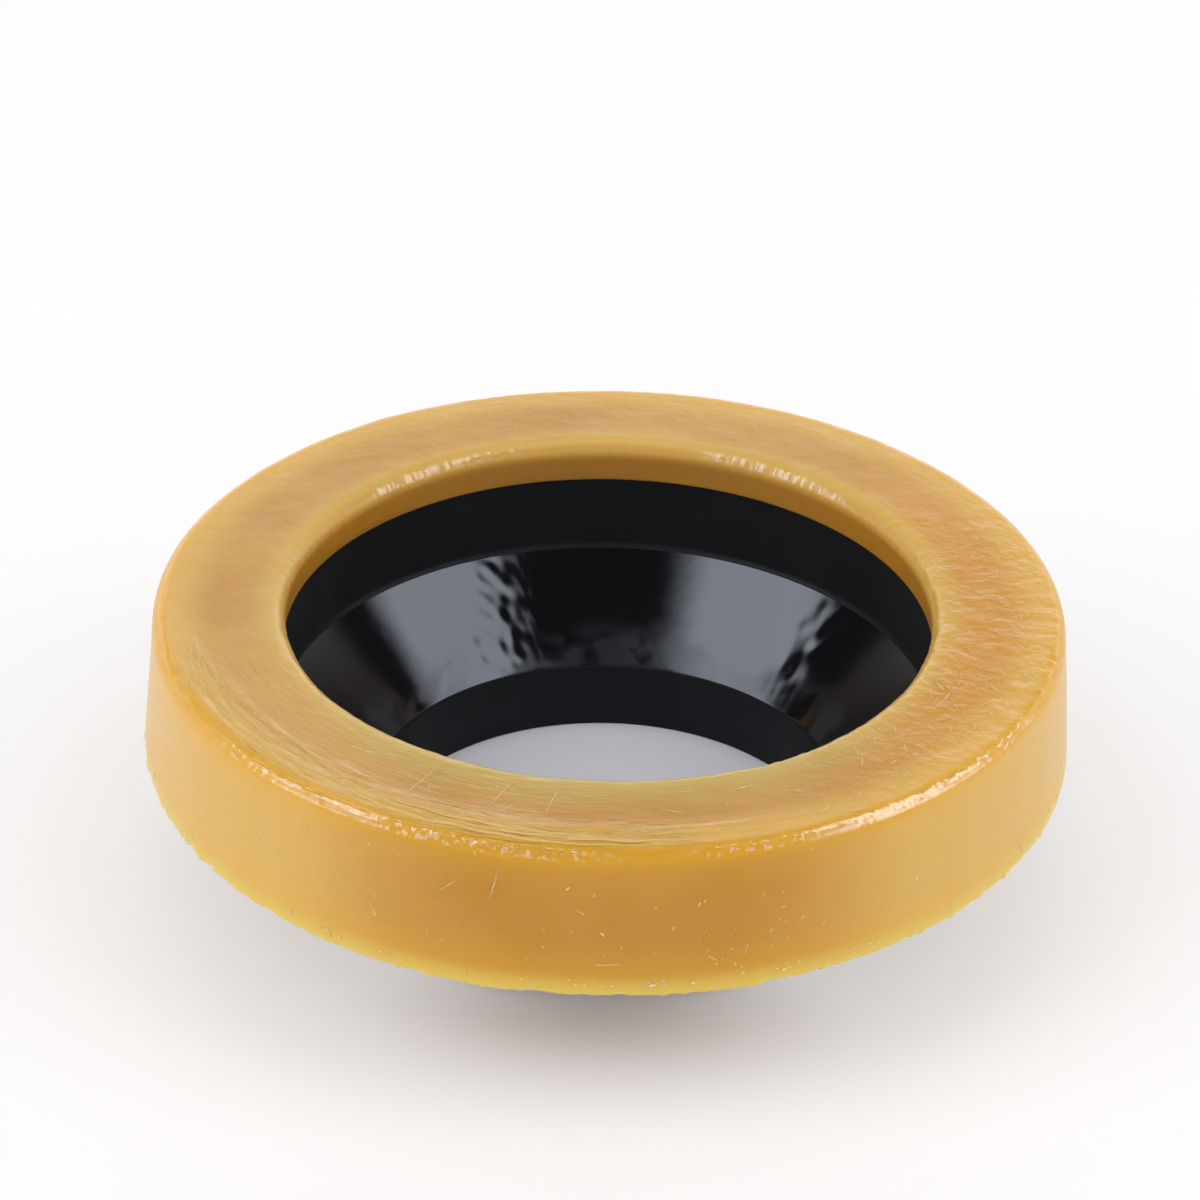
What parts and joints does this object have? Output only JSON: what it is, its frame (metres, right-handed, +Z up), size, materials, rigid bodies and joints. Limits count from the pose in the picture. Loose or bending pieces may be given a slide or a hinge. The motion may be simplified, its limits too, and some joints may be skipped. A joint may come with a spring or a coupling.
{
  "type": "toilet pan seal",
  "caption": "Round wax ring seal with a flared plastic outlet sleeve cast into its bore, for sealing a toilet pan to a waste flange.",
  "frame": {"origin": "on the common axis, in the plane of the outlet sleeve's end, which the seal stands on", "axes": "+Z up along the common axis, from the outlet's end to the wax's top face; +X and +Y are free, as the part is round"},
  "size_m": [0.1304, 0.1304, 0.0419],
  "materials": {
    "amber_wax": "soft translucent petroleum wax, satin, creased by its packing film",
    "black_plastic": "glossy as moulded"
  },
  "bodies": {
    "root": {"wax_ring": "amber_wax", "outlet_sleeve": "black_plastic"}
  },
  "joints": []
}
